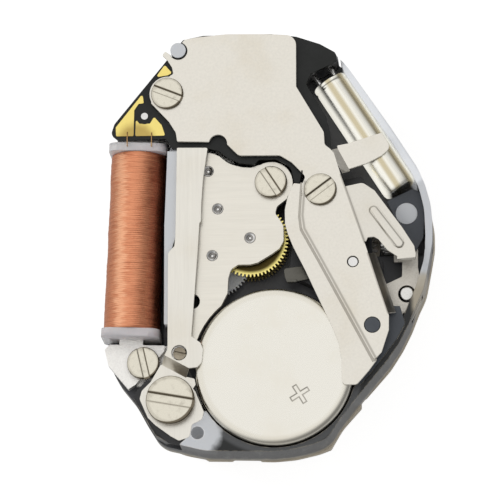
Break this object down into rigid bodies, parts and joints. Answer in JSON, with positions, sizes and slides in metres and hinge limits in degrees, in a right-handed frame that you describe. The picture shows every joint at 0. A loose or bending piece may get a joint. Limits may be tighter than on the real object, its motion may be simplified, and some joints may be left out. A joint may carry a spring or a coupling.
{
  "type": "quartz watch movement",
  "caption": "Small three-hand quartz watch movement seen from its battery side: button cell under spring clamps, copper coil, crystal can, steel cover, gear train and posts for the hands.",
  "frame": {"origin": "on the hands' axis, in the plane that the dial lies on", "axes": "+Z towards the battery side, +X towards the stem, the hands' posts point along -Z"},
  "size_m": [0.0141, 0.0181, 0.0046],
  "materials": {
    "milky_plastic": "translucent milky, moulded",
    "dial_metal": "satin, pale brass-nickel",
    "board_resin": "black solder resist",
    "gilded": "thin gold on copper",
    "package": "black resin",
    "crystal_metal": "polished nickel",
    "tinned_wire": "tinned",
    "bobbin_plastic": "translucent grey",
    "soft_iron": "annealed, dull",
    "copper": "enamelled copper wire",
    "steel": "satin sheet steel",
    "bridge_metal": "fine satin",
    "bush_metal": "turned",
    "black_sheet": "black insulating film",
    "screw_steel": "turned heads",
    "brass": "turned",
    "cell_metal": "drawn, lightly brushed",
    "gasket": "dark sealing ring",
    "clear_film": "thin film",
    "white_plastic": "white moulded",
    "magnet": "sintered magnet",
    "blasted_steel": "sand-blasted",
    "polished_steel": "polished",
    "black_plastic": "black moulded",
    "slate_plastic": "dark blue-grey moulded"
  },
  "bodies": {
    "movement": {"main_plate": "milky_plastic", "dial_plate": "dial_metal", "circuit_board": "board_resin", "board_pads": "gilded", "integrated_circuit": "package", "crystal_can": "crystal_metal", "crystal_leads": "tinned_wire", "coil_bobbin": "bobbin_plastic", "coil_core": "soft_iron", "coil_inner_layers": "copper", "coil_winding": "copper", "coil_leads": "tinned_wire", "stator": "soft_iron", "train_bridge": "bridge_metal", "pivot_bushes": "bush_metal", "cover_plate": "steel", "cell_clamp": "steel", "foot_insulator": "black_sheet", "cover_screws": "screw_steel", "bridge_screw": "screw_steel", "coil_screw": "screw_steel", "clamp_screw": "screw_steel", "screw_posts": "brass", "stop_stud": "screw_steel", "cell_can": "cell_metal", "cell_gasket": "gasket", "cell_cap": "cell_metal", "cell_terminal": "gilded", "cell_insulator": "clear_film", "lever_pin": "polished_steel", "reset_pin": "polished_steel", "guide_pin": "polished_steel", "circuit_frame": "black_plastic", "side_cover": "slate_plastic", "cell_guard": "slate_plastic"},
    "seconds": {"seconds_wheel": "brass", "seconds_arbor": "polished_steel"},
    "fifth": {"fifth_wheel": "white_plastic", "fifth_arbor": "polished_steel"},
    "rotor": {"rotor_magnet": "magnet", "rotor_arbor": "polished_steel"},
    "third": {"third_wheel": "white_plastic", "third_arbor": "polished_steel"},
    "centre": {"centre_wheel": "brass", "cannon_pinion": "polished_steel"},
    "minute": {"minute_wheel": "brass"},
    "hour": {"hour_wheel": "brass"},
    "setting": {"setting_wheel": "polished_steel"},
    "lever": {"setting_lever": "blasted_steel"},
    "yoke_slide": {"yoke": "blasted_steel"},
    "clutch": {"clutch_wheel": "polished_steel"},
    "reset": {"reset_lever": "polished_steel"}
  },
  "joints": [
    {"name": "seconds_turn", "type": "hinge", "parent": "movement", "child": "seconds", "pos_m": [0, 0, 0.0016], "axis": [0, 0, 1], "continuous": true},
    {"name": "fifth_turn", "type": "hinge", "parent": "movement", "child": "fifth", "pos_m": [-0.00137, 0.00128, 0.0016], "axis": [0, 0, 1], "continuous": true},
    {"name": "rotor_turn", "type": "hinge", "parent": "movement", "child": "rotor", "pos_m": [-0.00178, 0.00293, 0.0016], "axis": [0, 0, 1], "continuous": true},
    {"name": "third_turn", "type": "hinge", "parent": "movement", "child": "third", "pos_m": [-0.0016, -0.00075, 0.0016], "axis": [0, 0, 1], "continuous": true},
    {"name": "centre_turn", "type": "hinge", "parent": "movement", "child": "centre", "pos_m": [0, 0, 0.0016], "axis": [0, 0, 1], "continuous": true},
    {"name": "minute_turn", "type": "hinge", "parent": "movement", "child": "minute", "pos_m": [0.00185, 0.00086, 0.0006], "axis": [0, 0, 1], "continuous": true},
    {"name": "hour_turn", "type": "hinge", "parent": "movement", "child": "hour", "pos_m": [0, 0, 0.0002], "axis": [0, 0, 1], "continuous": true},
    {"name": "setting_turn", "type": "hinge", "parent": "movement", "child": "setting", "pos_m": [0.00425, -0.00001, 0.0006], "axis": [0, 0, 1], "continuous": true},
    {"name": "setting_lever_turn", "type": "hinge", "parent": "movement", "child": "lever", "pos_m": [0.0066, -0.00235, 0.00172], "axis": [0, 0, 1], "range_deg": [-6, 0]},
    {"name": "yoke_shift", "type": "slide", "parent": "movement", "child": "yoke_slide", "axis": [1, 0, 0], "range_m": [-0.00028, 0]},
    {"name": "clutch_spin", "type": "hinge", "parent": "yoke_slide", "child": "clutch", "pos_m": [0.00605, 0, 0.00088], "axis": [1, 0, 0], "continuous": true},
    {"name": "reset_lever_turn", "type": "hinge", "parent": "movement", "child": "reset", "pos_m": [0.00437, -0.0012, 0.00205], "axis": [0, 0, 1], "range_deg": [-8.02, 0]}
  ],
  "couplings": [
    {"joint": "fifth_turn", "follows": "seconds_turn", "ratio": -5},
    {"joint": "rotor_turn", "follows": "seconds_turn", "ratio": 30},
    {"joint": "third_turn", "follows": "seconds_turn", "ratio": -0.13333},
    {"joint": "centre_turn", "follows": "seconds_turn", "ratio": 0.016667},
    {"joint": "minute_turn", "follows": "seconds_turn", "ratio": -0.0055556},
    {"joint": "hour_turn", "follows": "seconds_turn", "ratio": 0.0013889},
    {"joint": "setting_turn", "follows": "seconds_turn", "ratio": 0.0083333},
    {"joint": "setting_lever_turn", "follows": "yoke_shift", "rad_per_m": 373.99},
    {"joint": "reset_lever_turn", "follows": "yoke_shift", "rad_per_m": 498.65}
  ]
}
